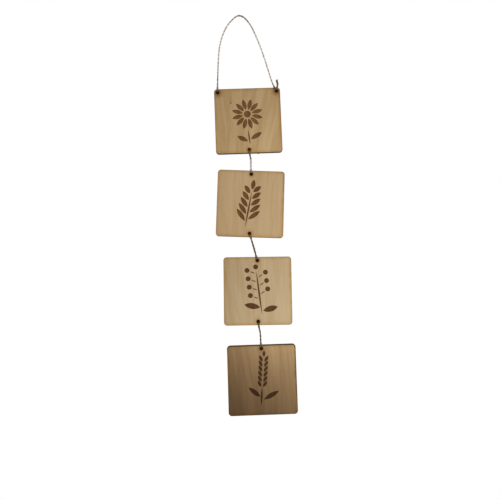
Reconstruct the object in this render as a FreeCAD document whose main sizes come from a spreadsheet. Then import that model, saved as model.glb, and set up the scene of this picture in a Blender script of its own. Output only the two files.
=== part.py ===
import FreeCAD, Part
import Sketcher
import math
import os

from FreeCAD import Placement, Rotation, Vector

# A hanging sign: four square plywood tiles with an engraved plant on each, strung on twine.
# X is right, Z is up and the engraved fronts face -Y. The origin is the hanging point, on the
# underside of the twine at the top of the hanger's loop. The twine runs in the plane Y = 0.

# Driving dimensions in millimetres, and the lean of each tile in degrees
SIZES = (
    ("tile_side", "75"),
    ("corner_radius", "3.5"),
    ("face_thickness", "0.8"),
    ("core_thickness", "1.4"),
    ("back_thickness", "0.8"),
    ("hole_diameter", "3.6"),
    ("hole_inset", "4"),
    ("engraving_depth", "0.4"),
    ("twine_diameter", "2"),
    ("face_gap", "0.4"),
    ("seat_gap", "0.3"),
    ("edge_bend_radius", "1.6"),
    ("flex_rise", "2"),
    ("flex_gap", "0.3"),
    ("hanger_drop", "84.4"),
    ("left_foot_shift", "0.2"),
    ("right_foot_shift", "3.7"),
    ("link_gap_1", "19.9"),
    ("link_gap_2", "22.3"),
    ("link_gap_3", "21.3"),
    ("tile_shift_1", "2.9"),
    ("tile_shift_2", "-1"),
    ("tile_shift_3", "0.5"),
    ("tile_shift_4", "-1.2"),
    ("tile_lean_1", "-1.7"),
    ("tile_lean_2", "-5.6"),
    ("tile_lean_3", "-3.1"),
    ("tile_lean_4", "-2.1"),
    ("knot_gap", "0.3"),
    ("knot_turn_radius", "2.7"),
    ("knot_turn_pitch", "2.8"),
    ("tail_reach", "10.9"),
    ("short_tail_reach", "8"),
)

TILES = (1, 2, 3, 4)
LINKS = (1, 2, 3)

# The hanger's route between its two feet: across as a share of the hole spacing, up as a share of the drop
HANGER_ROUTE_SHARES = (
    (-0.418, -0.750),
    (-0.396, -0.536),
    (-0.336, -0.321),
    (-0.224, -0.143),
    (-0.015, 0.036),
    (0.142, -0.042),
    (0.261, -0.250),
    (0.343, -0.470),
    (0.427, -0.732),
)

# An overhand knot is an open trefoil lying flat behind the tile. Its wave is a share of the knot's pitch.
# The hole and the tail's elbow, outward from its ring and sideways, and its lead are shares of the twine's
# diameter. The strand covers these turns of the trefoil, as shares of a full round.
KNOT_WAVE_SHARE = 0.464
KNOT_HOLE_SHARES = (0.55, 0.30)
KNOT_LEAD_SHARE = 0.10
KNOT_ELBOW_SHARES = (1.45, -1.30)
KNOT_TURN_SHARES = (0.056, 0.897)
KNOT_STEPS = 20

# A knot's tail from its elbow on: sideways and along, as shares of its reach
LONG_TAIL_SHARES = ((0.19, 0.23), (0.23, 0.61), (0.17, 1.0))
SHORT_TAIL_SHARES = ((0.0, 1.0),)

# Ways in which the hanger's knots lie out towards their holes, along and up the tile
HANGER_KNOT_WAYS = {"left": Vector(-0.9, 0, 0.43), "right": Vector(0.9, 0, 0.43)}

# An arc of the route takes up to this share of the shorter run beside it
ARC_SHARE = 0.45
# The tube's volume may differ from its section times its length by this share
VOLUME_SHARE = 0.01

doc = FreeCAD.newDocument("hanging_sign")
sheet = doc.addObject("Spreadsheet::Sheet", "sizes")
for row, (name, value) in enumerate(SIZES, start=1):
    sheet.set("A%d" % row, name)
    sheet.set("B%d" % row, value)
    sheet.setAlias("B%d" % row, name)
doc.recompute()


def size(name):
    return float(sheet.get(name))


# Places that follow from the sizes

half_side = size("tile_side") / 2
hole_reach = half_side - size("hole_inset")
twine_radius = size("twine_diameter") / 2
front_y = twine_radius + size("face_gap")
core_y = front_y + size("face_thickness")
back_veneer_y = core_y + size("core_thickness")
back_y = back_veneer_y + size("back_thickness")
knot_y = back_y + size("knot_gap")
seat_shift = size("hole_diameter") / 2 - twine_radius - size("seat_gap")
flex_height = half_side + size("flex_rise")


def tile_height(tile):
    """Height of a tile's centre, counted down from the hanging point."""
    height = -size("hanger_drop") - half_side
    for link in LINKS[:tile - 1]:
        height -= size("tile_side") + size("link_gap_%d" % link)
    return height


def tile_turn(tile):
    return Rotation(Vector(0, 1, 0), -size("tile_lean_%d" % tile))


def on_tile(tile, across, up):
    """A point of the twine's plane, given from the tile's centre along its own sides."""
    centre = Vector(size("tile_shift_%d" % tile), 0, tile_height(tile))
    return centre + tile_turn(tile).multVec(Vector(across, 0, up))


# Engraved plants, each a list of blades (base, tip, width) and dots (centre, radius),
# given as shares of the tile's side from its centre

def along(start, degrees, reach):
    """The point at a reach from start, at an angle counted from straight up towards the right."""
    angle = math.radians(degrees)
    return (start[0] + reach * math.sin(angle), start[1] + reach * math.cos(angle))


def daisy():
    centre_shares = (-0.01, 0.10)
    petals = 12
    petal_start_share, petal_length_share, petal_width_share = 0.07, 0.165, 0.062
    blades = []
    for index in range(petals):
        degrees = 360 * (index + 0.5) / petals
        base = along(centre_shares, degrees, petal_start_share)
        blades.append((base, along(base, degrees, petal_length_share), petal_width_share))
    stem_shares = ((-0.005, -0.15), (0.02, -0.375), 0.022)
    right_leaf_shares = ((0.032, -0.285), (0.20, -0.185), 0.068)
    left_leaf_shares = ((-0.016, -0.315), (-0.17, -0.235), 0.068)
    blades += [stem_shares, right_leaf_shares, left_leaf_shares]
    disc_radius_share = 0.052
    return blades, [(centre_shares, disc_radius_share)]


def olive_sprig():
    foot_shares, stem_degrees, stem_length_share, stem_width_share = (-0.07, -0.36), 9, 0.56, 0.024
    pairs = 5
    leaf_width_share, leaf_gap_share, leaf_degrees = 0.066, 0.022, 44
    first_node_share, node_step_share, node_stagger_share = 0.10, 0.105, 0.03
    first_leaf_share, leaf_step_share = 0.215, 0.018
    blades = [(foot_shares, along(foot_shares, stem_degrees, stem_length_share), stem_width_share)]
    for index in range(pairs):
        node_share = first_node_share + node_step_share * index
        leaf_length_share = first_leaf_share - leaf_step_share * index
        for side in (-1, 1):
            node = along(foot_shares, stem_degrees, node_share + node_stagger_share * (side > 0))
            base = along(node, stem_degrees + 90 * side, leaf_gap_share)
            tip = along(base, stem_degrees + leaf_degrees * side, leaf_length_share)
            blades.append((base, tip, leaf_width_share))
    top = along(foot_shares, stem_degrees, stem_length_share + leaf_gap_share)
    top_length_share = 0.15
    blades.append((top, along(top, stem_degrees, top_length_share), leaf_width_share))
    return blades, []


def berry_branch():
    foot_shares, stem_degrees, stem_length_share, stem_width_share = (0.06, -0.36), -7, 0.66, 0.024
    berries = 7
    berry_radius_share, stalk_width_share, stalk_gap_share = 0.036, 0.014, 0.018
    stalk_degrees, stalk_length_share = 62, 0.085
    first_node_share, node_step_share, berry_gap_share = 0.25, 0.062, 0.045
    blades = [(foot_shares, along(foot_shares, stem_degrees, stem_length_share), stem_width_share)]
    dots = []
    for index in range(berries):
        side = 1 if index % 2 else -1
        node = along(foot_shares, stem_degrees, first_node_share + node_step_share * index)
        base = along(node, stem_degrees + 90 * side, stalk_gap_share)
        tip = along(base, stem_degrees + stalk_degrees * side, stalk_length_share)
        blades.append((base, tip, stalk_width_share))
        berry = along(tip, stem_degrees + stalk_degrees * side, berry_gap_share)
        dots.append((berry, berry_radius_share))
    left_leaf_shares = ((0.03, -0.24), (-0.20, -0.20), 0.085)
    right_leaf_shares = ((0.075, -0.29), (0.29, -0.235), 0.085)
    blades += [left_leaf_shares, right_leaf_shares]
    top_gap_share = 0.058
    top = along(foot_shares, stem_degrees, stem_length_share + top_gap_share)
    dots.append((top, berry_radius_share))
    return blades, dots


def wheat_ear():
    foot_shares, stem_degrees, stem_length_share, stem_width_share = (-0.03, -0.37), 5, 0.27, 0.024
    pairs = 6
    grain_length_share, grain_width_share, grain_gap_share, grain_degrees = 0.100, 0.044, 0.015, 30
    grain_step_share, top_length_share = 0.072, 0.085
    blades = [(foot_shares, along(foot_shares, stem_degrees, stem_length_share), stem_width_share)]
    for index in range(pairs):
        node = along(foot_shares, stem_degrees, stem_length_share + grain_step_share * index)
        for side in (-1, 1):
            base = along(node, stem_degrees + 90 * side, grain_gap_share)
            tip = along(base, stem_degrees + grain_degrees * side, grain_length_share)
            blades.append((base, tip, grain_width_share))
    top = along(foot_shares, stem_degrees, stem_length_share + grain_step_share * pairs)
    blades.append((top, along(top, stem_degrees, top_length_share), grain_width_share))
    right_leaf_shares = ((0.015, -0.28), (0.235, -0.165), 0.066)
    left_leaf_shares = ((-0.036, -0.24), (-0.20, -0.105), 0.066)
    blades += [right_leaf_shares, left_leaf_shares]
    return blades, []


PLANTS = {1: daisy, 2: olive_sprig, 3: berry_branch, 4: wheat_ear}


# Plywood tiles: a front veneer, a core and a back veneer each, glued face to face

def plane_of(body, role):
    return next(item for item in body.Origin.OriginFeatures if item.Role == role)


def new_sketch(body, name):
    sketch = body.newObject("Sketcher::SketchObject", name)
    sketch.AttachmentSupport = [(plane_of(body, "XZ_Plane"), "")]
    sketch.MapMode = "FlatFace"
    return sketch


def bind(sketch, constraint, expression):
    index = sketch.addConstraint(constraint)
    sketch.setExpression("Constraints[%d]" % index, expression)


def draw_square(sketch):
    corners = [(-1, -1), (1, -1), (1, 1), (-1, 1)]
    points = [Vector(x * half_side, z * half_side, 0) for x, z in corners]
    for index, point in enumerate(points):
        sketch.addGeometry(Part.LineSegment(point, points[(index + 1) % len(points)]))
    for index in range(len(points)):
        sketch.addConstraint(Sketcher.Constraint("Coincident", index, 2, (index + 1) % len(points), 1))
    for index in (0, 2):
        sketch.addConstraint(Sketcher.Constraint("Horizontal", index))
    for index in (1, 3):
        sketch.addConstraint(Sketcher.Constraint("Vertical", index))
    sketch.addConstraint(Sketcher.Constraint("Symmetric", 0, 1, 1, 2, -1, 1))
    bind(sketch, Sketcher.Constraint("DistanceX", 0, 1, 0, 2, size("tile_side")), "sizes.tile_side")
    bind(sketch, Sketcher.Constraint("DistanceY", 1, 1, 1, 2, size("tile_side")), "sizes.tile_side")


def hole_places(tile):
    """Which of the three columns and which edge each twine hole of a tile lies at."""
    places = [(-1, 1), (1, 1)] if tile == TILES[0] else [(0, 1)]
    if tile != TILES[-1]:
        places.append((0, -1))
    return places


def draw_holes(sketch, tile):
    reach = "sizes.tile_side / 2 - sizes.hole_inset"
    for column, edge in hole_places(tile):
        centre = Vector(column * hole_reach, edge * hole_reach, 0)
        circle = Part.Circle(centre, Vector(0, 0, 1), size("hole_diameter") / 2)
        index = sketch.addGeometry(circle)
        bind(sketch, Sketcher.Constraint("Diameter", index, size("hole_diameter")), "sizes.hole_diameter")
        if column:
            ends = (-1, 1, index, 3) if column > 0 else (index, 3, -1, 1)
            bind(sketch, Sketcher.Constraint("DistanceX", *ends, hole_reach), reach)
        else:
            sketch.addConstraint(Sketcher.Constraint("PointOnObject", index, 3, -2))
        ends = (-1, 1, index, 3) if edge > 0 else (index, 3, -1, 1)
        bind(sketch, Sketcher.Constraint("DistanceY", *ends, hole_reach), reach)


def draw_plant(sketch, tile):
    side = size("tile_side")
    blades, dots = PLANTS[tile]()
    for base, tip, width in blades:
        base_point = Vector(base[0], base[1], 0) * side
        tip_point = Vector(tip[0], tip[1], 0) * side
        middle = (base_point + tip_point) / 2
        across = (tip_point - base_point).cross(Vector(0, 0, 1)).normalize() * (width * side / 2)
        sketch.addGeometry(Part.Arc(base_point, middle + across, tip_point))
        sketch.addGeometry(Part.Arc(tip_point, middle - across, base_point))
    for centre, radius in dots:
        middle = Vector(centre[0], centre[1], 0) * side
        sketch.addGeometry(Part.Circle(middle, Vector(0, 0, 1), radius * side))


def corner_edges(shape):
    """Names of the four edges that run through the sheet at its corners."""
    names = []
    for index, edge in enumerate(shape.Edges, start=1):
        run = edge.Vertexes[1].Point - edge.Vertexes[0].Point
        if abs(run.y) > abs(run.x) + abs(run.z):
            names.append("Edge%d" % index)
    return names


def make_ply(tile, layer, thickness, place_y, engraved):
    label = "tile_%d_%s" % (tile, layer)
    body = doc.addObject("PartDesign::Body", label)
    outline = new_sketch(body, label + "_outline")
    draw_square(outline)
    pad = body.newObject("PartDesign::Pad", label + "_pad")
    pad.Profile = outline
    pad.Reversed = True
    pad.setExpression("Length", "sizes." + thickness)
    doc.recompute()
    rounding = body.newObject("PartDesign::Fillet", label + "_corners")
    rounding.Base = (pad, corner_edges(pad.Shape))
    rounding.setExpression("Radius", "sizes.corner_radius")
    holes = new_sketch(body, label + "_holes")
    draw_holes(holes, tile)
    drilling = body.newObject("PartDesign::Pocket", label + "_drilling")
    drilling.Profile = holes
    drilling.Type = "ThroughAll"
    drilling.Midplane = True
    doc.recompute()
    if engraved:
        uncut = body.Shape.Volume
        plant = new_sketch(body, label + "_plant")
        draw_plant(plant, tile)
        engraving = body.newObject("PartDesign::Pocket", label + "_engraving")
        engraving.Profile = plant
        engraving.Reversed = False
        engraving.setExpression("Length", "sizes.engraving_depth")
        doc.recompute()
        print(label, "engraved area mm2", round((uncut - body.Shape.Volume) / size("engraving_depth"), 1))
    middle = on_tile(tile, 0, 0)
    body.Placement = Placement(Vector(middle.x, place_y, middle.z), tile_turn(tile))
    return body


# Twine: tubes along straight runs and tangent arcs

def route_edges(points, radii):
    """Lines and tangent arcs along a route. radii holds one radius for each inner point."""
    edges = []
    start = points[0]
    for before, corner, after, radius in zip(points, points[1:], points[2:], radii):
        inward = (corner - before).normalize()
        outward = (after - corner).normalize()
        half_turn = inward.getAngle(outward) / 2
        cut = radius * math.tan(half_turn)
        bisector = (outward - inward).normalize()
        entry = corner - inward * cut
        leave = corner + outward * cut
        middle = corner + bisector * (radius / math.cos(half_turn) - radius)
        edges.append(Part.LineSegment(start, entry).toShape())
        edges.append(Part.Arc(entry, middle, leave).toShape())
        start = leave
    edges.append(Part.LineSegment(start, points[-1]).toShape())
    return edges


def free_radii(points):
    """The largest radius that the two runs beside each inner point allow."""
    radii = []
    for before, corner, after in zip(points, points[1:], points[2:]):
        half_turn = (corner - before).getAngle(after - corner) / 2
        shorter = min((corner - before).Length, (after - corner).Length)
        radii.append(ARC_SHARE * shorter / math.tan(half_turn))
    return radii


def twine_tube(label, points, radii):
    path = Part.Wire(route_edges(points, radii))
    circle = Part.Circle(points[0], points[1] - points[0], twine_radius)
    tube = path.makePipeShell([Part.Wire(circle.toShape())], True, False)
    expected = math.pi * twine_radius ** 2 * path.Length
    if abs(tube.Volume / expected - 1) > VOLUME_SHARE:
        raise RuntimeError("%s: tube volume %.2f, expected %.2f" % (label, tube.Volume, expected))
    print(label, "length", round(path.Length, 1), "radii", [round(radius, 1) for radius in radii])
    return tube


def add_piece(label, shape):
    piece = doc.addObject("Part::Feature", label)
    piece.Shape = shape
    piece.Placement = Placement()
    return piece


def hollow_end(shape, flex):
    """Hollow a cord's end, so that the rounded end it faces can turn in it."""
    return shape.cut(Part.makeSphere(twine_radius + size("flex_gap"), flex))


def rounded_end(shape, flex, outward):
    """Round a cord's end over the point where the twine flexes."""
    return shape.fuse(Part.makeSphere(twine_radius, flex, outward, 0, 90, 360)).removeSplitter()


def seat_in_hole(hole, pull):
    """Where the twine lies in its hole: drawn to the side that it pulls towards."""
    return hole + pull * seat_shift


def make_end(label, flex, seat):
    """The twine from a flex point down over the tile's edge and back through its hole."""
    behind = Vector(seat.x, knot_y, seat.z)
    tube = twine_tube(label, [behind, seat, flex], [size("edge_bend_radius")])
    return add_piece(label, rounded_end(tube, flex, flex - seat))


def knot_route(seat, out_way):
    """The route of an overhand knot, from the hole round the trefoil to the tail's elbow."""
    away = Vector(0, 1, 0)
    side_way = away.cross(out_way)
    ring = size("knot_turn_radius")
    lift = size("knot_turn_pitch") / 2
    wave = size("knot_turn_pitch") * KNOT_WAVE_SHARE
    twine = size("twine_diameter")
    rise = lift + twine_radius
    foot = Vector(seat.x, knot_y, seat.z)
    hole_across, hole_side = KNOT_HOLE_SHARES
    centre = foot + away * rise - out_way * (ring + hole_across * twine) - side_way * (hole_side * twine)
    points = [foot, foot + away * (rise + KNOT_LEAD_SHARE * twine)]
    first, last = (share * 2 * math.pi for share in KNOT_TURN_SHARES)
    for step in range(KNOT_STEPS):
        turn = first + (last - first) * step / (KNOT_STEPS - 1)
        spread = ring + wave * math.cos(3 * turn)
        flat = out_way * (spread * math.cos(2 * turn)) + side_way * (spread * math.sin(2 * turn))
        points.append(centre + flat + away * (lift * math.sin(3 * turn)))
    elbow_across, elbow_side = KNOT_ELBOW_SHARES
    elbow = centre + out_way * (ring + elbow_across * twine) + side_way * (elbow_side * twine)
    return points + [elbow - away * (lift / 2)]


def make_knot(label, seat, out_way, tail_way, tail_shares, reach):
    """A stopper knot behind the tile, with a tail that runs off along tail_way."""
    points = knot_route(seat, out_way)
    elbow = points[-1]
    tail_side = Vector(0, 1, 0).cross(tail_way)
    for across, run in tail_shares:
        points.append(elbow + tail_side * (across * reach) + tail_way * (run * reach))
    return add_piece(label, twine_tube(label, points, free_radii(points)))


def hole_of(tile, column, edge):
    return on_tile(tile, column * hole_reach, edge * hole_reach)


def make_hanger():
    feet = (on_tile(1, -hole_reach + size("left_foot_shift"), flex_height),
            on_tile(1, hole_reach - size("right_foot_shift"), flex_height))
    up_tile = tile_turn(1).multVec(Vector(0, 0, 1))
    tails = ((-up_tile, SHORT_TAIL_SHARES, size("short_tail_reach")),
             (up_tile, LONG_TAIL_SHARES, size("tail_reach")))
    for name, column, foot, tail in zip(("left", "right"), (-1, 1), feet, tails):
        hole = hole_of(1, column, 1)
        seat = seat_in_hole(hole, (foot - hole).normalize())
        out_way = tile_turn(1).multVec(HANGER_KNOT_WAYS[name]).normalize()
        make_end("hanger_end_" + name, foot, seat)
        make_knot("hanger_knot_" + name, seat, out_way, *tail)
        print("flex hanger_" + name, foot)
    span = hole_reach * 2
    drop = size("hanger_drop")
    route = [Vector(across * span, 0, up * drop) for across, up in HANGER_ROUTE_SHARES]
    points = [feet[0]] + route + [feet[1]]
    tube = twine_tube("hanger_cord", points, free_radii(points))
    for foot in feet:
        tube = hollow_end(tube, foot)
    add_piece("hanger_cord", tube)


def make_link(link):
    upper, lower = link, link + 1
    upper_hole = hole_of(upper, 0, -1)
    lower_hole = hole_of(lower, 0, 1)
    down = (lower_hole - upper_hole).normalize()
    upper_seat = seat_in_hole(upper_hole, down)
    lower_seat = seat_in_hole(lower_hole, -down)
    tile_up = tile_turn(lower).multVec(Vector(0, 0, 1))
    rise = flex_height - (lower_seat - on_tile(lower, 0, 0)).dot(tile_up)
    flex = lower_seat - down * (rise / abs(down.dot(tile_up)))
    name = "link_%d_" % link
    behind = Vector(upper_seat.x, knot_y, upper_seat.z)
    tube = twine_tube(name + "cord", [behind, upper_seat, flex], [size("edge_bend_radius")])
    add_piece(name + "cord", hollow_end(tube, flex))
    make_end(name + "end", flex, lower_seat)
    knots = (("upper_knot", upper_seat, upper, -1), ("lower_knot", lower_seat, lower, 1))
    for knot, seat, tile, edge in knots:
        out_way = tile_turn(tile).multVec(Vector(0, 0, edge))
        tail_way = out_way.cross(Vector(0, 1, 0))
        make_knot(name + knot, seat, out_way, tail_way, SHORT_TAIL_SHARES, size("short_tail_reach"))
    print("pivot link_%d" % link, upper_seat, "flex", flex)


for tile in TILES:
    make_ply(tile, "front_veneer", "face_thickness", front_y, True)
    make_ply(tile, "core_ply", "core_thickness", core_y, False)
    make_ply(tile, "back_veneer", "back_thickness", back_veneer_y, False)
make_hanger()
for link in LINKS:
    make_link(link)
doc.recompute()

# Check every object, then write one file for each piece

for item in doc.Objects:
    if "Invalid" in item.State or "Error" in item.State:
        raise RuntimeError("%s did not build: %s" % (item.Name, item.State))

pieces = [item for item in doc.Objects if item.TypeId in ("PartDesign::Body", "Part::Feature")]
for piece in pieces:
    if piece.Shape.isNull() or not piece.Shape.isValid() or len(piece.Shape.Solids) != 1:
        raise RuntimeError("%s is not one valid solid" % piece.Label)

os.makedirs("parts", exist_ok=True)
for piece in pieces:
    piece.Shape.exportStep("parts/%s.step" % piece.Label)
print(len(pieces), "pieces written")
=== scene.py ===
import math
from functools import reduce

import bpy
import numpy as np
from mathutils import Matrix, Vector


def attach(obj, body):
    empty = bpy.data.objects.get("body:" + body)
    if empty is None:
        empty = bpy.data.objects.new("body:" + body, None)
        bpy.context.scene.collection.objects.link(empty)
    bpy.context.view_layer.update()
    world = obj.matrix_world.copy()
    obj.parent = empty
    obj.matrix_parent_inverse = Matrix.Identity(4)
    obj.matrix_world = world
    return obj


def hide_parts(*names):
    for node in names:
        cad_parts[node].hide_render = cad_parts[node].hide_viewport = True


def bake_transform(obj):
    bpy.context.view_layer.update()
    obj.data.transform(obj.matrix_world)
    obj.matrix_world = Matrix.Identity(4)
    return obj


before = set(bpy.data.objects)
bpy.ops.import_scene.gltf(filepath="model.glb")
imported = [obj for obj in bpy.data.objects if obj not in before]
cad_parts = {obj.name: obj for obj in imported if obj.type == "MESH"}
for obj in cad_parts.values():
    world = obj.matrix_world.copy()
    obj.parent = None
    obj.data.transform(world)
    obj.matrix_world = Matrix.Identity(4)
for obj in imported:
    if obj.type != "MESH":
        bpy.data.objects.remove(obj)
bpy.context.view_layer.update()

# Sizes and places of the part, in millimetres and degrees, as its source has them
MM = 0.001
HALF_SIDE = 37.5
CORNER_RADIUS = 3.5
HOLE_REACH = 33.5
HOLE_RADIUS = 1.8
FRONT_Y = 1.4
KNOT_Y = 4.7
TWINE = 2.0
SEAT_SHIFT = 0.5
FLEX_HEIGHT = 39.5
TILE_PLACES = {
    1: (2.9, -121.9, -1.7),
    2: (-1.0, -216.8, -5.6),
    3: (0.5, -314.1, -3.1),
    4: (-1.2, -410.4, -2.1),
}
TILE_HOLES = {
    1: ((-1, 1), (1, 1), (0, -1)),
    2: ((0, 1), (0, -1)),
    3: ((0, 1), (0, -1)),
    4: ((0, 1),),
}
LAYERS = ("front_veneer", "core_ply", "back_veneer")
LINKS = (1, 2, 3)
BACK_WAY = Vector((0, 1, 0))
FULL_TURN = 2 * math.pi


def tile_way(tile, across, up):
    """A direction along a tile's own sides."""
    lean = math.radians(TILE_PLACES[tile][2])
    c, s = math.cos(lean), math.sin(lean)
    return Vector((across * c - up * s, 0, across * s + up * c))


def on_tile(tile, across, up):
    """A point of the twine's plane, given from the tile's centre along its own sides."""
    x, z, _ = TILE_PLACES[tile]
    return Vector((x, 0, z)) + tile_way(tile, across, up)


# Materials

def linear(colour):
    """A colour of 0 to 255 as it shows, turned into the shader's linear values."""
    shares = [c / 255 for c in colour]
    return tuple(c / 12.92 if c <= 0.04045 else ((c + 0.055) / 1.055) ** 2.4 for c in shares) + (1.0,)


class Nodes:
    """A material's node tree, with short calls for the nodes used here."""

    def __init__(self, name):
        self.material = bpy.data.materials.new(name)
        self.material.use_nodes = True
        self.tree = self.material.node_tree
        self.shader = self.tree.nodes["Principled BSDF"]

    def add(self, kind, **values):
        node = self.tree.nodes.new("ShaderNode" + kind)
        for name, value in values.items():
            setattr(node, name, value)
        return node

    def put(self, socket, value):
        if isinstance(value, bpy.types.NodeSocket):
            self.tree.links.new(value, socket)
        else:
            socket.default_value = value

    def math(self, operation, *values):
        node = self.add("Math", operation=operation)
        for socket, value in zip(node.inputs, values):
            self.put(socket, value)
        return node.outputs[0]

    def plus(self, first, second):
        return self.math("ADD", first, second)

    def minus(self, first, second):
        return self.math("SUBTRACT", first, second)

    def times(self, first, second):
        return self.math("MULTIPLY", first, second)

    def larger(self, first, second):
        return self.math("MAXIMUM", first, second)

    def size(self, value):
        return self.math("ABSOLUTE", value)

    def length(self, across, up):
        return self.math("SQRT", self.plus(self.times(across, across), self.times(up, up)))

    def weighted(self, *pairs):
        """The sum of values, each times its weight."""
        return reduce(self.plus, [self.times(value, weight) for value, weight in pairs])

    def step(self, value, low, high):
        """0 at low, 1 at high, smooth between. low may be above high."""
        node = self.add("MapRange", interpolation_type="SMOOTHSTEP")
        self.put(node.inputs["Value"], value)
        self.put(node.inputs["From Min"], low)
        self.put(node.inputs["From Max"], high)
        return node.outputs[0]

    def mix(self, share, first, second, blend="MIX"):
        node = self.add("Mix", data_type="RGBA", blend_type=blend)
        self.put(node.inputs[0], share)
        self.put(node.inputs[6], first)
        self.put(node.inputs[7], second)
        return node.outputs[2]

    def stain(self, colour, mask, strength, tint):
        """A colour that turns into a tint by the strength where the mask is 1."""
        return self.mix(self.times(mask, strength), colour, linear(tint))

    def join(self, x, y, z):
        node = self.add("CombineXYZ")
        for socket, value in zip(node.inputs, (x, y, z)):
            self.put(socket, value)
        return node.outputs[0]

    def split(self, vector):
        node = self.add("SeparateXYZ")
        self.put(node.inputs[0], vector)
        return node.outputs

    def noise(self, vector, scale=1.0, detail=2.0, roughness=0.5):
        node = self.add("TexNoise")
        self.put(node.inputs["Vector"], vector)
        self.put(node.inputs["Scale"], scale)
        self.put(node.inputs["Detail"], detail)
        self.put(node.inputs["Roughness"], roughness)
        return node.outputs["Fac"]

    def finish(self, colour, roughness, specular, height, bump, depth):
        """Fills the shader in. The bump has a strength, and a depth in millimetres."""
        self.put(self.shader.inputs["Base Color"], colour)
        self.put(self.shader.inputs["Roughness"], roughness)
        self.shader.inputs["Specular IOR Level"].default_value = specular
        node = self.add("Bump")
        self.put(node.inputs["Height"], height)
        self.put(node.inputs["Strength"], bump)
        self.put(node.inputs["Distance"], depth * MM)
        self.put(self.shader.inputs["Normal"], node.outputs[0])
        return self.material


# Wood of each tile: face colours, the grain's lean at its left and right in degrees, the engraving and
# the rim, how much wider the rim is at the right and how far a near-black band comes onto the face below
# and at the top, in millimetres, and how fast the tone grows to the right and up. Tile 4's darker colours
# and its steep tone are painted shade, darkest at its lower left.
WOOD = {
    1: {"dark": (159, 127, 86), "pale": (178, 151, 110), "grain": (1.0, -13.0), "burnt": (110, 76, 43),
        "rim": (146, 106, 56), "right_rim": 2.2, "dark_edge": (0.35, 0.05), "across": 0.075, "up": -0.085},
    2: {"dark": (170, 140, 100), "pale": (186, 160, 121), "grain": (1.0, -1.0), "burnt": (108, 72, 39),
        "rim": (152, 114, 62), "right_rim": 1.6, "dark_edge": (0.05, 0.05), "across": 0.055, "up": -0.045},
    3: {"dark": (172, 145, 107), "pale": (190, 167, 131), "grain": (7.0, 1.0), "burnt": (93, 61, 32),
        "rim": (160, 127, 77), "right_rim": 0.6, "dark_edge": (0.0, 0.0), "across": 0.117, "up": -0.03},
    # Tile 4: darker face, engraving and rim colours, painted shade over the whole tile
    4: {"dark": (119, 92, 61), "pale": (139, 112, 78), "grain": (5.0, 2.0), "burnt": (70, 45, 23),
        "rim": (82, 52, 22), "right_rim": 1.0, "dark_edge": (0.2, 1.15), "across": 0.36, "up": 0.50},
}
HIDDEN_SHARE = 0.25
WOOD_ROUGHNESS, WOOD_SPECULAR = 0.62, 0.12
WOOD_BUMP, WOOD_DEPTH, LINE_HEIGHT = 0.35, 0.08, 0.5

# Grain: how fine each kind of streak is, how short along the sheet, and its detail. The shares are of
# bands, lines, fibres and mottle.
BANDS, LINES, FIBRES = (0.13, 0.07, 2.0), (0.9, 0.03, 3.0), (4.5, 0.05, 2.0)
STREAK_ROUGHNESS = 0.6
MOTTLE_SCALE, MOTTLE_DETAIL = 0.45, 3.0
GRAIN_SHARES, GRAIN_RANGE = (0.62, 0.30, 0.10, 0.10), (0.36, 0.74)
LEAN_RANGE = (-20.0, 15.0)
SWAY, SWAY_OVER, SWAY_ALONG = 9.0, 0.03, 0.02
TONE_POWERS = (1.0, 1.1, 1.22)

# Scorch: how far each kind reaches from an edge or a hole in millimetres, its strength and its colour
RAGGED, RAGGED_SCALE, RAGGED_DETAIL = 2.6, 0.14, 3.0
EDGE_HALO, HOLE_HALO, HALO_STRENGTH, HALO = 4.5, 5.0, 0.6, (236, 212, 160)
RIM_REACH, RIM_FULL, RIM_STRENGTH, RIGHT_STRENGTH = 1.3, -0.1, 0.5, 0.45
RIGHT_START, RIGHT_RISE = 20.0, (-60.0, 15.0)
RING_REACH, CORNER_RING_REACH, RING_FULL, RING_STRENGTH = 1.4, 2.2, -0.2, 0.85
# Round the corner holes: partly laser smoke and partly the twine's painted shadow on the sheet
SMOKE_AND_SHADE_REACH, SMOKE_AND_SHADE_FULL, SMOKE_AND_SHADE_STRENGTH = 7.0, 0.5, 0.42
SCORCH = (92, 60, 28)
# A near-black line along the face's edge, thin everywhere and wider near the bottom and the top by each
# tile's own reach
DARK_EDGE_BELOW, DARK_EDGE_ABOVE, CHAR_STRENGTH = (-31.0, -36.0), (30.0, 35.0), 0.85
CHAR_NONE, CHAR_FULL, CHAR_FULL_SHARE = 0.25, 0.1, 0.6
CHAR = (30, 20, 14)
CHAR_PALE = {"front_veneer": (58, 40, 26), "core_ply": (104, 71, 42), "back_veneer": (58, 40, 26)}
CHAR_RANGE, CHAR_ALONG, CHAR_THROUGH, CHAR_DETAIL = (0.4, 0.75), 0.5, 3.0, 3.0
SIDE_RANGE = (0.75, 0.35)

# The pin knot of one tile: its place from the tile's centre and its sizes in millimetres
PIN_TILE, PIN_X, PIN_Z = 1, -19.0, 21.0
PIN_RANGE, PIN_SQUEEZE, PIN_STRENGTH, PIN = (1.1, 0.3), 0.45 ** 0.5, 0.8, (96, 62, 34)
STREAK_SIDE, STREAK_FOOT, STREAK_TOP = (2.4, 0.3), (-1.5, 1.0), (16.0, 3.0)
STREAK_STRENGTH, STREAK = 0.40, (142, 104, 62)

# Engraving: the laser's passes in millimetres, and how the burnt floor's colour and roughness vary
PASS_STEP, PASS_SHARE, PASS_HEIGHT = 0.3, 0.04, 0.5
SUNK_RANGE = (FRONT_Y + 0.05, FRONT_Y + 0.25)
BURN_RANGE, BURN_DEEP, BURN_LIGHT = (0.34, 0.70), 0.80, 1.14
FACE_ROUGHNESS, BURN_ROUGHER = 0.60, 0.22


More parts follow.
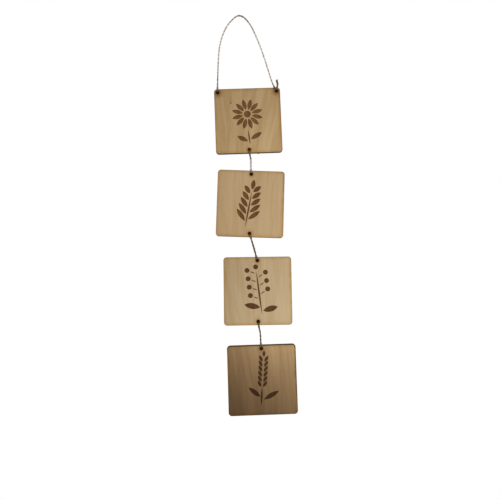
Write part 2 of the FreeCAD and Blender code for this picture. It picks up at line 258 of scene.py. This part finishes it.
def add_grain(n, look, layer, x, z, seed):
    """Broad bands, streaks and fine fibres that run up the sheet, across it in the core."""
    run, over = (x, z) if layer == "core_ply" else (z, x)
    share = 1.0 if layer == "front_veneer" else HIDDEN_SHARE
    left, right = (math.tan(math.radians(lean * share)) for lean in look["grain"])
    slope = n.plus(n.times(n.step(over, *LEAN_RANGE), right - left), left)
    over = n.plus(over, n.times(run, slope))
    sway = n.noise(n.join(n.times(over, SWAY_OVER), seed, n.times(run, SWAY_ALONG)))
    over = n.plus(over, n.times(sway, SWAY))
    streaks = []
    for fineness, shortness, detail in (BANDS, LINES, FIBRES):
        at = n.join(n.times(over, fineness), seed, n.times(run, fineness * shortness))
        streaks.append(n.noise(at, detail=detail, roughness=STREAK_ROUGHNESS))
    bands, lines, fibres = streaks
    mottle = n.noise(n.join(x, seed, z), MOTTLE_SCALE, MOTTLE_DETAIL, STREAK_ROUGHNESS)
    grain = n.weighted(*zip((bands, lines, fibres, mottle), GRAIN_SHARES))
    face = n.mix(n.step(grain, *GRAIN_RANGE), linear(look["dark"]), linear(look["pale"]))

    # The tone grows across the sheet, and is warmer where it is darker. On tile 4 it is painted shade,
    # darkest at the lower left.
    fall = n.weighted((x, share * look["across"] / HALF_SIDE), (z, share * look["up"] / HALF_SIDE))
    tone_and_shade = n.join(*(n.math("EXPONENT", n.times(fall, power)) for power in TONE_POWERS))
    return n.mix(1.0, face, tone_and_shade, "MULTIPLY"), tone_and_shade, bands, lines, fibres


def add_scorch(n, face, tile, look, x, z, seed):
    """Brown along the sheet's rounded outline, most at the upper right, and round its holes, wider round the
    corner holes, where it is partly laser smoke and partly the twine's painted shadow. A near-black line
    runs along the edge.
    """
    flat = HALF_SIDE - CORNER_RADIUS
    past_x, past_z = (n.minus(n.size(value), flat) for value in (x, z))
    corner = n.length(n.larger(past_x, 0.0), n.larger(past_z, 0.0))
    within = n.math("MINIMUM", n.larger(past_x, past_z), 0.0)
    from_edge = n.minus(CORNER_RADIUS, n.plus(corner, within))
    ragged = n.minus(n.noise(n.join(x, seed, z), RAGGED_SCALE, RAGGED_DETAIL), 0.5)
    ragged = n.times(ragged, RAGGED)
    edge = n.plus(from_edge, ragged)
    halo = n.step(edge, EDGE_HALO, 0.0)
    rightward = n.times(n.step(x, RIGHT_START, HALF_SIDE), n.step(z, *RIGHT_RISE))
    rim_reach = n.plus(n.times(rightward, look["right_rim"]), RIM_REACH)
    rim_strength = n.plus(n.times(rightward, RIGHT_STRENGTH), RIM_STRENGTH)
    rim = n.times(n.step(edge, rim_reach, RIM_FULL), rim_strength)
    ring, smoke_and_shade = 0.0, 0.0
    for column, side in TILE_HOLES[tile]:
        from_centre = n.length(n.minus(x, column * HOLE_REACH), n.minus(z, side * HOLE_REACH))
        past = n.minus(from_centre, HOLE_RADIUS)
        halo = n.larger(halo, n.step(n.plus(past, ragged), HOLE_HALO, 0.0))
        ring = n.larger(ring, n.step(past, CORNER_RING_REACH if column else RING_REACH, RING_FULL))
        # Round a corner hole: partly laser smoke and partly the twine's painted shadow
        if column:
            smoke_and_shade = n.larger(smoke_and_shade, n.step(past, SMOKE_AND_SHADE_REACH, SMOKE_AND_SHADE_FULL))
    face = n.mix(n.times(halo, HALO_STRENGTH), face, n.mix(1.0, face, linear(HALO), "MULTIPLY"))
    face = n.mix(rim, face, linear(look["rim"]))
    face = n.stain(face, smoke_and_shade, SMOKE_AND_SHADE_STRENGTH, SCORCH)
    face = n.stain(face, ring, RING_STRENGTH, SCORCH)
    # A thin near-black line along the face's edge, widened into a band at tile 1's bottom and tile 4's top
    below, above = look["dark_edge"]
    reach = n.weighted((n.step(z, *DARK_EDGE_BELOW), below), (n.step(z, *DARK_EDGE_ABOVE), above))
    full = n.plus(n.times(reach, CHAR_FULL_SHARE), CHAR_FULL)
    return n.stain(face, n.step(from_edge, n.plus(reach, CHAR_NONE), full), CHAR_STRENGTH, CHAR)


def add_pin_knot(n, face, x, z):
    """A pin knot with a darker streak above it."""
    off_x, off_z = n.minus(x, PIN_X), n.minus(z, PIN_Z)
    streak = n.times(n.step(n.size(off_x), *STREAK_SIDE), n.step(off_z, *STREAK_FOOT))
    streak = n.times(streak, n.step(off_z, *STREAK_TOP))
    face = n.stain(face, streak, STREAK_STRENGTH, STREAK)
    spot = n.step(n.length(off_x, n.times(off_z, PIN_SQUEEZE)), *PIN_RANGE)
    return n.stain(face, spot, PIN_STRENGTH, PIN)


def wood(tile, layer):
    """Plywood face, scorched along its edges and round its holes, with painted shade round the corner holes
    and over tile 4, and charred sides.
    """
    look = WOOD[tile]
    n = Nodes("tile_%d_%s" % (tile, layer))
    place = n.add("TexCoord")
    x_mid, z_mid, lean = TILE_PLACES[tile]
    local = n.add("Mapping", vector_type="TEXTURE")
    local.inputs["Location"].default_value = (x_mid * MM, 0, z_mid * MM)
    local.inputs["Rotation"].default_value = (0, -math.radians(lean), 0)
    local.inputs["Scale"].default_value = (MM, MM, MM)
    n.put(local.inputs["Vector"], place.outputs["Object"])
    x, y, z = n.split(local.outputs[0])
    seed = LAYERS.index(layer) * 7.0 + tile * 3.0
    face, tone_and_shade, bands, lines, fibres = add_grain(n, look, layer, x, z, seed)
    face = add_scorch(n, face, tile, look, x, z, seed)
    height = n.plus(n.times(lines, LINE_HEIGHT), fibres)
    roughness = WOOD_ROUGHNESS
    if layer == "front_veneer":
        if tile == PIN_TILE:
            face = add_pin_knot(n, face, x, z)
        # Engraved floors: burnt brown, streaked by the grain and by the laser's passes, and times the
        # sheet's tone, which on tile 4 is painted shade
        passes = n.math("SINE", n.times(z, FULL_TURN / PASS_STEP))
        burn = n.weighted((n.plus(bands, lines), 0.5), (passes, PASS_SHARE))
        deep, light = ([c * share for c in look["burnt"]] for share in (BURN_DEEP, BURN_LIGHT))
        floor = n.mix(n.step(burn, *BURN_RANGE), linear(deep), linear(light))
        sunk = n.step(y, *SUNK_RANGE)
        face = n.mix(sunk, face, n.mix(1.0, floor, tone_and_shade, "MULTIPLY"))
        height = n.plus(height, n.times(n.times(passes, sunk), PASS_HEIGHT))
        roughness = n.plus(n.times(sunk, BURN_ROUGHER), FACE_ROUGHNESS)

    # Charred sides, paler in streaks along the sheet, most in the core
    normal_y = n.split(place.outputs["Normal"])[1]
    sides = n.step(n.size(normal_y), *SIDE_RANGE)
    at = n.join(n.times(x, CHAR_ALONG), n.times(y, CHAR_THROUGH), n.times(z, CHAR_ALONG))
    soot = n.noise(at, detail=CHAR_DETAIL)
    dark_edge = n.mix(n.step(soot, *CHAR_RANGE), linear(CHAR), linear(CHAR_PALE[layer]))
    return n.finish(n.mix(sides, face, dark_edge), roughness, WOOD_SPECULAR, height, WOOD_BUMP, WOOD_DEPTH)


for tile in TILE_PLACES:
    for layer in LAYERS:
        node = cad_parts["tile_%d_%s" % (tile, layer)]
        node.data.materials.clear()
        node.data.materials.append(wood(tile, layer))

# Colours of the twine: a dark, a middle and a pale shade of the jute. A tint has its place along the
# twine, the distances from there at which it starts and is full, its strength and its colour. A hole's
# tint has its place at both ends.
# Near-black painted shade on the twine inside the holes, and on each knot's start seen through its hole
HOLE_SHADE = (40, 29, 21)
HOLE_TINTS = ((7.4, 5.2, 0.70, (108, 82, 58)), (5.6, 3.4, 0.94, HOLE_SHADE))
HANGER_SHADES = ((126, 112, 102), (198, 186, 175), (244, 238, 232))
HANGER_TINTS = ((0.0, 34.0, 16.0, 0.68, (112, 92, 76)), (107.0, 24.0, 9.0, 0.60, (96, 84, 80)),
                (204.5, 14.5, 10.0, 0.80, (84, 64, 50)))
LINK_SHADES = {
    1: ((66, 49, 34), (108, 86, 64), (152, 130, 106)),
    2: ((66, 49, 34), (108, 86, 63), (148, 125, 99)),
    3: ((64, 48, 34), (106, 85, 63), (146, 124, 99)),
}
LINK_TINTS = {1: ((21.5, 9.0, 5.5, 0.80, (208, 196, 187)),), 2: (), 3: ()}
KNOT_SHADES = ((70, 51, 38), (112, 90, 72), (156, 134, 112))
# Each knot's start, seen through its hole: painted near-black shade
KNOT_TINTS = ((0.0, 1.5, 0.6, 0.94, HOLE_SHADE),)
# Painted shade on the side of each strand that faces the other, in the groove between them
GROOVE_SHADE, GROOVE_SHADE_RANGE, GROOVE_SHADE_STRENGTH = (120, 104, 92), (0.55, -0.35), 0.55
BROWN_RANGE, PALE_RANGE = (0.30, 0.50), (0.50, 0.70)

# Jute: how fine its fibres and its patches are along a strand and round it, and how the fibres turn
FIBRES_ALONG, FIBRES_ROUND, FIBRES_TURN, FIBRES_DETAIL, FIBRES_ROUGHNESS = 0.35, 9.0, 0.10, 3.0, 0.65
PATCHES_ALONG, PATCHES_ROUND, PATCHES_SEED = 0.20, 0.3, 4.0
JUTE_ROUGHNESS, JUTE_SPECULAR, JUTE_BUMP, JUTE_DEPTH = 0.9, 0.15, 0.6, 0.12


def twine_material(name, shades, tints):
    """Jute: streaks of fibre along each strand, in paler and darker patches, with tints at their places, and
    painted shade in the groove between the strands.
    """
    n = Nodes(name)
    place = n.add("TexCoord")
    u, v, _ = n.split(place.outputs["UV"])
    turned = n.plus(v, n.times(u, FIBRES_TURN))
    at = n.join(n.times(u, FIBRES_ALONG), n.times(turned, FIBRES_ROUND), 0.0)
    fibres = n.noise(at, detail=FIBRES_DETAIL, roughness=FIBRES_ROUGHNESS)
    patches = n.noise(n.join(n.times(u, PATCHES_ALONG), n.times(v, PATCHES_ROUND), PATCHES_SEED))
    mixed = n.weighted((fibres, 0.5), (patches, 0.5))
    dark, middle, pale = (linear(shade) for shade in shades)
    brown = n.mix(n.step(mixed, *BROWN_RANGE), dark, middle)
    colour = n.mix(n.step(mixed, *PALE_RANGE), brown, pale)
    for centre, outer, inner, strength, tint in tints:
        near = n.step(n.size(n.minus(u, centre)), outer, inner)
        colour = n.stain(colour, near, strength, tint)
    # Painted shade on each strand's inner side, in the groove between the strands
    outward = n.math("COSINE", n.times(v, FULL_TURN))
    groove_shade = n.times(n.step(outward, *GROOVE_SHADE_RANGE), GROOVE_SHADE_STRENGTH)
    colour = n.mix(groove_shade, colour, n.mix(1.0, colour, linear(GROOVE_SHADE), "MULTIPLY"))
    return n.finish(colour, JUTE_ROUGHNESS, JUTE_SPECULAR, fibres, JUTE_BUMP, JUTE_DEPTH)


# Twine: two strands laid round each other along a smooth route, with loose fibres, in millimetres. A
# knotted twine swells towards its tail's end and at its hole, any other is flat beside its holes.
LAY, LAY_WANDER, LAY_STEP = 8.4, 0.8, 9.0
STRAND_OFFSET, STRAND_THICK, STRAND_WIDE = 0.41, 0.47, 0.62
STRAND_SIDES = 10
SLUB, SLUB_STEP = 0.24, 4.5
STRAND_SLUB, STRAND_SLUB_STEP = 0.10, 3.5
TAIL_SWELL, TAIL_FULL, TAIL_NONE = 0.80, 2.0, 7.0
PLUG_SWELL, PLUG_FULL, PLUG_NONE = 2.5, 1.2, 2.6
FLAT, FLAT_IN, FLAT_OUT = 0.5, (4.8, 3.6), (6.5, 9.0)
FIBRE_RADII = (0.045, 0.042, 0.036, 0.028, 0.015)
FIBRE_SIDES = 3
FIBRE_PLACES = 50.0
FUZZ_FOOT, FUZZ_LENGTHS = 0.78, (0.6, 1.6)
FUZZ_ALONG, FUZZ_OUT, FUZZ_DROOP = (0.5, 1.0), (0.25, 0.7), 0.35
BRUSH_FIBRES, BRUSH_DEPTH, BRUSH_RADIUS, BRUSH_LENGTHS = 60, 0.9, 0.9, (1.0, 1.7)
BRUSH_OUT, BRUSH_DROOP = (0.0, 0.6), 0.2
FIRST_SIDE = (0.31, 0.77, 0.55)


def read_route(points, resolution):
    """Points along the smooth line that a route's points control, in metres."""
    curve = bpy.data.curves.new("route", "CURVE")
    curve.dimensions = "3D"
    spline = curve.splines.new("NURBS")
    spline.points.add(len(points) - 1)
    for control, point in zip(spline.points, points):
        control.co = (point[0] * MM, point[1] * MM, point[2] * MM, 1.0)
    spline.order_u = 3
    spline.use_endpoint_u = True
    spline.resolution_u = resolution
    holder = bpy.data.objects.new("route", curve)
    mesh = bpy.data.meshes.new_from_object(holder)
    line = np.array([vertex.co for vertex in mesh.vertices], float)
    bpy.data.meshes.remove(mesh)
    bpy.data.curves.remove(curve)
    return line


def unit(vectors):
    return vectors / np.linalg.norm(vectors, axis=-1, keepdims=True)


def ramp(values, full, none):
    """1 up to full, 0 from none on, straight between. full may be above none."""
    return np.clip((none - values) / (none - full), 0, 1)


def carried_frames(line):
    """Tangents along a line and two sides that turn no more than the line does."""
    tangents = unit(np.gradient(line, axis=0))
    side = np.cross(tangents[0], FIRST_SIDE)
    firsts = []
    for tangent in tangents:
        side = side - tangent * (side @ tangent)
        side = side / np.linalg.norm(side)
        firsts.append(side)
    firsts = np.array(firsts)
    return tangents, firsts, np.cross(tangents, firsts)


class Tubes:
    """Closed tubes gathered into one mesh, with lengths and turns as texture places."""

    def __init__(self):
        self.points, self.faces, self.places = [], [], []

    def add(self, rings, along):
        count, sides, _ = rings.shape
        first = len(self.points)
        self.points.extend(rings.reshape(-1, 3))
        for ring in range(count - 1):
            low, high = first + ring * sides, first + (ring + 1) * sides
            here, there = along[ring], along[ring + 1]
            for side in range(sides):
                after = (side + 1) % sides
                self.faces.append((low + side, low + after, high + after, high + side))
                start, stop = side / sides, (side + 1) / sides
                self.places += [(here, start), (here, stop), (there, stop), (there, start)]
        for ring, order in ((0, range(sides - 1, -1, -1)), (count - 1, range(sides))):
            self.faces.append(tuple(first + ring * sides + side for side in order))
            self.places += [(along[ring], side / sides) for side in order]

    def piece(self, name, material):
        mesh = bpy.data.meshes.new(name)
        mesh.from_pydata([tuple(point) for point in self.points], [], self.faces)
        layer = mesh.uv_layers.new(name="strand")
        layer.data.foreach_set("uv", np.array(self.places, np.float32).ravel())
        mesh.shade_smooth()
        mesh.materials.append(material)
        piece = bpy.data.objects.new(name, mesh)
        bpy.context.scene.collection.objects.link(piece)
        return piece


def rings_along(centres, radial, across, thick, wide, sides):
    """Oval rings round the centres of a tube."""
    turn = np.linspace(0, FULL_TURN, sides, endpoint=False)
    thick, wide = np.asarray(thick)[:, None, None], np.asarray(wide)[:, None, None]
    return (centres[:, None, :] + thick * np.cos(turn)[None, :, None] * radial[:, None, :]
            + wide * np.sin(turn)[None, :, None] * across[:, None, :])


def smooth_random(rng, along, step):
    """Random values from -1 to 1 that change over about one step of length."""
    knots = np.arange(0, along[-1] + 2 * step, step)
    return np.interp(along, knots, rng.uniform(-1, 1, len(knots)))


def add_fibre(tubes, rng, start, way, length, droop):
    """One loose fibre: a thin tapering tube that bends away from its way."""
    shares = np.linspace(0, 1, len(FIBRE_RADII))[:, None]
    line = start + way * (shares * length) + droop * (shares ** 2 * length)
    _, first, second = carried_frames(line)
    radius = np.array(FIBRE_RADII) * MM
    rings = rings_along(line, first, second, radius, radius, FIBRE_SIDES)
    tubes.add(rings, shares[:, 0] * length / MM + rng.uniform(0, FIBRE_PLACES))


def twine(name, line, seed, thickness, fuzz, shades, knotted, tints=()):
    """Twine along a line, with fuzz loose fibres to the millimetre. A knotted one starts thick behind its
    hole, painted near-black with shade there, and is brushed at its end. Any other is painted near-black
    with shade in the holes at its two ends, and flattened beside them where it lies on the sheets."""
    rng = np.random.default_rng(seed)
    along = np.concatenate([[0], np.cumsum(np.linalg.norm(np.diff(line, axis=0), axis=1))]) / MM
    from_end = along[-1] - along
    tangents, first, second = carried_frames(line)
    tubes = Tubes()
    start_turn = rng.uniform(0, FULL_TURN)
    lay = FULL_TURN * along / LAY + LAY_WANDER * smooth_random(rng, along, LAY_STEP)
    slub = 1 + SLUB * smooth_random(rng, along, SLUB_STEP)
    flat = np.zeros_like(along)
    if knotted:
        slub = slub * (1 + TAIL_SWELL * ramp(from_end, TAIL_FULL, TAIL_NONE))
        slub = slub + PLUG_SWELL * ramp(along, PLUG_FULL, PLUG_NONE)
        tints += KNOT_TINTS
    else:
        to_end = np.minimum(along, from_end)
        flat = FLAT * ramp(to_end, *FLAT_IN) * ramp(to_end, *FLAT_OUT)
        tints += tuple((centre,) + tint for tint in HOLE_TINTS for centre in (0.0, along[-1]))
    side_way = np.cross(tangents, BACK_WAY)
    for strand in range(2):
        turn = start_turn + lay + math.pi * strand
        radial = np.cos(turn)[:, None] * first + np.sin(turn)[:, None] * second
        swell = thickness * slub * (1 + STRAND_SLUB * smooth_random(rng, along, STRAND_SLUB_STEP)) * MM
        centres = line + radial * (STRAND_OFFSET * thickness * MM)
        across = unit(np.cross(unit(np.gradient(centres, axis=0)), radial))
        rings = rings_along(centres, radial, across, STRAND_THICK * swell, STRAND_WIDE * swell, STRAND_SIDES)
        sideways = ((rings - line[:, None, :]) * side_way[:, None, :]).sum(axis=2) * flat[:, None]
        tubes.add(rings + sideways[:, :, None] * side_way[:, None, :], along)
    for _ in range(int(fuzz * along[-1])):
        at = rng.integers(1, len(line) - 1)
        turn = rng.uniform(0, FULL_TURN)
        out = math.cos(turn) * first[at] + math.sin(turn) * second[at]
        way = tangents[at] * rng.choice((-1, 1)) * rng.uniform(*FUZZ_ALONG) + out * rng.uniform(*FUZZ_OUT)
        droop = rng.uniform(-FUZZ_DROOP, FUZZ_DROOP, 3)
        length = rng.uniform(*FUZZ_LENGTHS) * MM
        add_fibre(tubes, rng, line[at] + out * (FUZZ_FOOT * MM), unit(way), length, droop)
    if knotted:
        foot = line[-1] - tangents[-1] * (BRUSH_DEPTH * MM)
        for _ in range(BRUSH_FIBRES):
            turn, off = rng.uniform(0, FULL_TURN), rng.uniform(0, BRUSH_RADIUS) * MM
            out = math.cos(turn) * first[-1] + math.sin(turn) * second[-1]
            way = tangents[-1] + out * rng.uniform(*BRUSH_OUT)
            length = rng.uniform(*BRUSH_LENGTHS) * MM
            droop = rng.uniform(-BRUSH_DROOP, BRUSH_DROOP, 3)
            add_fibre(tubes, rng, foot + out * off, unit(way), length, droop)
    return tubes.piece(name, twine_material(name, shades, tints))


# Overhand knots behind the tiles: open trefoils, as the part's source lays them, in millimetres or as
# shares of the twine. A tail's points are shares of its reach, across it and along it.
KNOT_RING = 2.7
KNOT_LIFT = 1.4
KNOT_WAVE = 1.3
KNOT_HOLE = (0.55, 0.30)
KNOT_LEAD = 0.10
KNOT_ELBOW = (1.45, -1.30)
KNOT_TURNS = (0.056, 0.897)
KNOT_STEPS = 20
KNOT_DETAIL, KNOT_THICKNESS, KNOT_FUZZ = 14, 1.1, 1.0
LONG_TAIL, LONG_REACH = ((0.16, 0.23), (0.20, 0.61), (0.12, 1.0)), 10.9
SHORT_TAIL, SHORT_REACH = ((0.0, 1.0),), 8.0


def behind(seat):
    """The place of a seat just behind its tile, where a knot starts."""
    return Vector((seat.x, KNOT_Y, seat.z))


def knot_route(seat, out_way, tail_way, tail, reach):
    """From behind the hole round the trefoil and along the tail."""
    side_way = BACK_WAY.cross(out_way)
    rise = KNOT_LIFT + TWINE / 2
    foot = behind(seat)
    centre = (foot + BACK_WAY * rise - out_way * (KNOT_RING + KNOT_HOLE[0] * TWINE)
              - side_way * (KNOT_HOLE[1] * TWINE))
    points = [foot, foot + BACK_WAY * (rise + KNOT_LEAD * TWINE)]
    first, last = (share * FULL_TURN for share in KNOT_TURNS)
    for step in range(KNOT_STEPS):
        turn = first + (last - first) * step / (KNOT_STEPS - 1)
        spread = KNOT_RING + KNOT_WAVE * math.cos(3 * turn)
        off = out_way * (spread * math.cos(2 * turn)) + side_way * (spread * math.sin(2 * turn))
        points.append(centre + off + BACK_WAY * (KNOT_LIFT * math.sin(3 * turn)))
    elbow = centre + out_way * (KNOT_RING + KNOT_ELBOW[0] * TWINE) + side_way * (KNOT_ELBOW[1] * TWINE)
    elbow -= BACK_WAY * (KNOT_LIFT / 2)
    points.append(elbow)
    tail_side = BACK_WAY.cross(tail_way)
    return points + [elbow + tail_side * (across * reach) + tail_way * (run * reach) for across, run in tail]


def add_knot(node, body, seed, seat, out_way, tail_way, tail=SHORT_TAIL, reach=SHORT_REACH):
    line = read_route(knot_route(seat, out_way, tail_way, tail, reach), KNOT_DETAIL)
    knot = twine(node + "_twine", line, seed, KNOT_THICKNESS, KNOT_FUZZ, KNOT_SHADES, True)
    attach(knot, body)
    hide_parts(node)


# Hanger: through both corner holes of the top tile and up round the hanging point. The right leg leans
# further in over the edge than the left one. The left knot's tail points down and inward, and the right
# one's stands up behind the tile.
HANGER_ROUTE = ((-28.0, -67.5), (-26.9, -56.0), (-25.6, -44.0), (-23.5, -32.0), (-20.2, -22.2),
                (-15.3, -12.2), (-9.6, -5.1), (-1.6, 1.6), (4.6, 0.4), (9.8, -5.3), (13.9, -12.4),
                (18.2, -23.4), (22.9, -38.4), (27.2, -54.5), (30.3, -69.0))
LEFT_LEAN, RIGHT_LEAN = 0.2, 3.7
KNOT_OUT, TAIL_IN = (0.9, 0.43), (0.3, -0.95)
HANGER_DETAIL, HANGER_THICKNESS, HANGER_FUZZ = 48, 0.94, 0.9
HANGER_SEED, LEFT_SEED, RIGHT_SEED = 11, 21, 22

feet = (on_tile(1, -HOLE_REACH + LEFT_LEAN, FLEX_HEIGHT), on_tile(1, HOLE_REACH - RIGHT_LEAN, FLEX_HEIGHT))
holes = (on_tile(1, -HOLE_REACH, HOLE_REACH), on_tile(1, HOLE_REACH, HOLE_REACH))
seats = [hole + (foot - hole).normalized() * SEAT_SHIFT for foot, hole in zip(feet, holes)]
route = [behind(seats[0]), seats[0], feet[0]] + [Vector((x, 0, z)) for x, z in HANGER_ROUTE]
route += [feet[1], seats[1], behind(seats[1])]
line = read_route(route, HANGER_DETAIL)
hanger = twine("hanger_twine", line, HANGER_SEED, HANGER_THICKNESS, HANGER_FUZZ, HANGER_SHADES,
               False, HANGER_TINTS)
up_tile = tile_way(1, 0, 1)
flex = (feet[0] + feet[1]) / 2
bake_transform(hanger)
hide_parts("hanger_cord", "hanger_end_left", "hanger_end_right")
left_out, right_out = (tile_way(1, side * KNOT_OUT[0], KNOT_OUT[1]).normalized() for side in (-1, 1))
inward = tile_way(1, *TAIL_IN).normalized()
add_knot("hanger_knot_left", "tile_1", LEFT_SEED, seats[0], left_out, inward)
add_knot("hanger_knot_right", "tile_1", RIGHT_SEED, seats[1], right_out, up_tile, LONG_TAIL, LONG_REACH)

# Links: from each tile's bottom hole to the next tile's top hole. The middle bows a little to the right.
LINK_BOW = {1: 0.9, 2: 0.2, 3: 0.9}
EDGE_REACH = KNOT_Y * 1.2
LINK_DETAIL, LINK_THICKNESS, LINK_FUZZ = 40, 1.1, 1.3
LINK_SEED, LINK_KNOT_SEED = 30, 40

for link in LINKS:
    upper_body, lower_body = "link_%d" % link, "tile_%d" % (link + 1)
    upper_hole = on_tile(link, 0, -HOLE_REACH)
    lower_hole = on_tile(link + 1, 0, HOLE_REACH)
    down = (lower_hole - upper_hole).normalized()
    upper_seat = upper_hole + down * SEAT_SHIFT
    lower_seat = lower_hole - down * SEAT_SHIFT
    tile_up = tile_way(link + 1, 0, 1)
    rise = FLEX_HEIGHT - (lower_seat - on_tile(link + 1, 0, 0)).dot(tile_up)
    flex = lower_seat - down * (rise / abs(down.dot(tile_up)))
    near_edge = upper_seat + down * EDGE_REACH
    bow = (upper_seat + flex) / 2 + Vector((LINK_BOW[link], 0, 0))
    route = [behind(upper_seat), upper_seat, near_edge, bow, flex, lower_seat, behind(lower_seat)]
    line = read_route(route, LINK_DETAIL)
    cord = twine("link_%d_twine" % link, line, LINK_SEED + link, LINK_THICKNESS, LINK_FUZZ,
                 LINK_SHADES[link], False, LINK_TINTS[link])
    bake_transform(cord)
    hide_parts("link_%d_cord" % link, "link_%d_end" % link)
    knots = (("upper_knot", upper_body, upper_seat, tile_way(link, 0, -1)),
             ("lower_knot", lower_body, lower_seat, tile_up))
    for index, (knot, body, seat, out_way) in enumerate(knots):
        seed = LINK_KNOT_SEED + 2 * link + index
        add_knot("link_%d_%s" % (link, knot), body, seed, seat, out_way, out_way.cross(BACK_WAY))

# Stage: white surroundings, a floor that shows only the shadow on it, and soft light, in metres
FLOOR_Z, FLOOR_BACK = -0.65, 0.15
LIGHT_STRENGTH, SEEN_STRENGTH = 0.60, 1.0
LAMP_AIM = Vector((0.0, 0.0, -0.26))

floor_mesh = bpy.data.meshes.new("floor")
floor_corners = [(x, y, FLOOR_Z) for x, y in ((-1, -1), (1, -1), (1, FLOOR_BACK), (-1, FLOOR_BACK))]
floor_mesh.from_pydata(floor_corners, [], [(0, 1, 2, 3)])
floor = bpy.data.objects.new("floor", floor_mesh)
bpy.context.scene.collection.objects.link(floor)
floor.is_shadow_catcher = True

world = bpy.data.worlds.new("surroundings")
bpy.context.scene.world = world
world.use_nodes = True
tree = world.node_tree
background = tree.nodes["Background"]
background.inputs["Color"].default_value = (1.0, 1.0, 1.0, 1.0)
rays = tree.nodes.new("ShaderNodeLightPath")
seen = rays.outputs["Is Camera Ray"]
for other in ("Is Glossy Ray", "Is Transmission Ray"):
    either = tree.nodes.new("ShaderNodeMath")
    either.operation = "MAXIMUM"
    tree.links.new(seen, either.inputs[0])
    tree.links.new(rays.outputs[other], either.inputs[1])
    seen = either.outputs[0]
strength = tree.nodes.new("ShaderNodeMapRange")
strength.inputs["To Min"].default_value = LIGHT_STRENGTH
strength.inputs["To Max"].default_value = SEEN_STRENGTH
tree.links.new(seen, strength.inputs["Value"])
tree.links.new(strength.outputs[0], background.inputs["Strength"])


def add_lamp(name, place, power, size):
    data = bpy.data.lights.new(name, "AREA")
    data.energy = power
    data.size = size
    light = bpy.data.objects.new(name, data)
    light.location = place
    light.rotation_euler = (LAMP_AIM - Vector(place)).to_track_quat("-Z", "Y").to_euler()
    bpy.context.scene.collection.objects.link(light)


add_lamp("key", (0.45, -1.45, -0.10), 9.0, 0.40)
add_lamp("fill", (-0.60, 1.50, 0.10), 7.0, 0.80)

# Camera: fitted to the tiles' corners in the photograph
ROLL, PITCH, YAW = (math.radians(a) for a in (3.9, -3.91, -1.15))
LOOK_POINT = Vector((-5.0, 1.4, -268.5)) * MM
DISTANCE = 487.8 * MM
LENS_PX, FRAME_PX = 440.0, 500.0
cr, sr, cp, sp, cy, sy = (f(a) for a in (ROLL, PITCH, YAW) for f in (math.cos, math.sin))
right = Vector((cr * cy + sr * sp * sy, cr * sy - sr * sp * cy, -sr * cp))
up = Vector((sr * cy - cr * sp * sy, sr * sy + cr * sp * cy, cr * cp))
forward = Vector((-cp * sy, cp * cy, -sp))
camera = bpy.data.cameras.new("camera")
camera.sensor_width = 36.0
camera.lens = LENS_PX / FRAME_PX * camera.sensor_width
camera.clip_start = 0.01
eye = bpy.data.objects.new("camera", camera)
turn = Matrix((right, up, -forward)).transposed().to_4x4()
eye.matrix_world = Matrix.Translation(LOOK_POINT - forward * DISTANCE) @ turn
bpy.context.scene.collection.objects.link(eye)
bpy.context.scene.camera = eye
bpy.context.scene.view_settings.view_transform = "Standard"
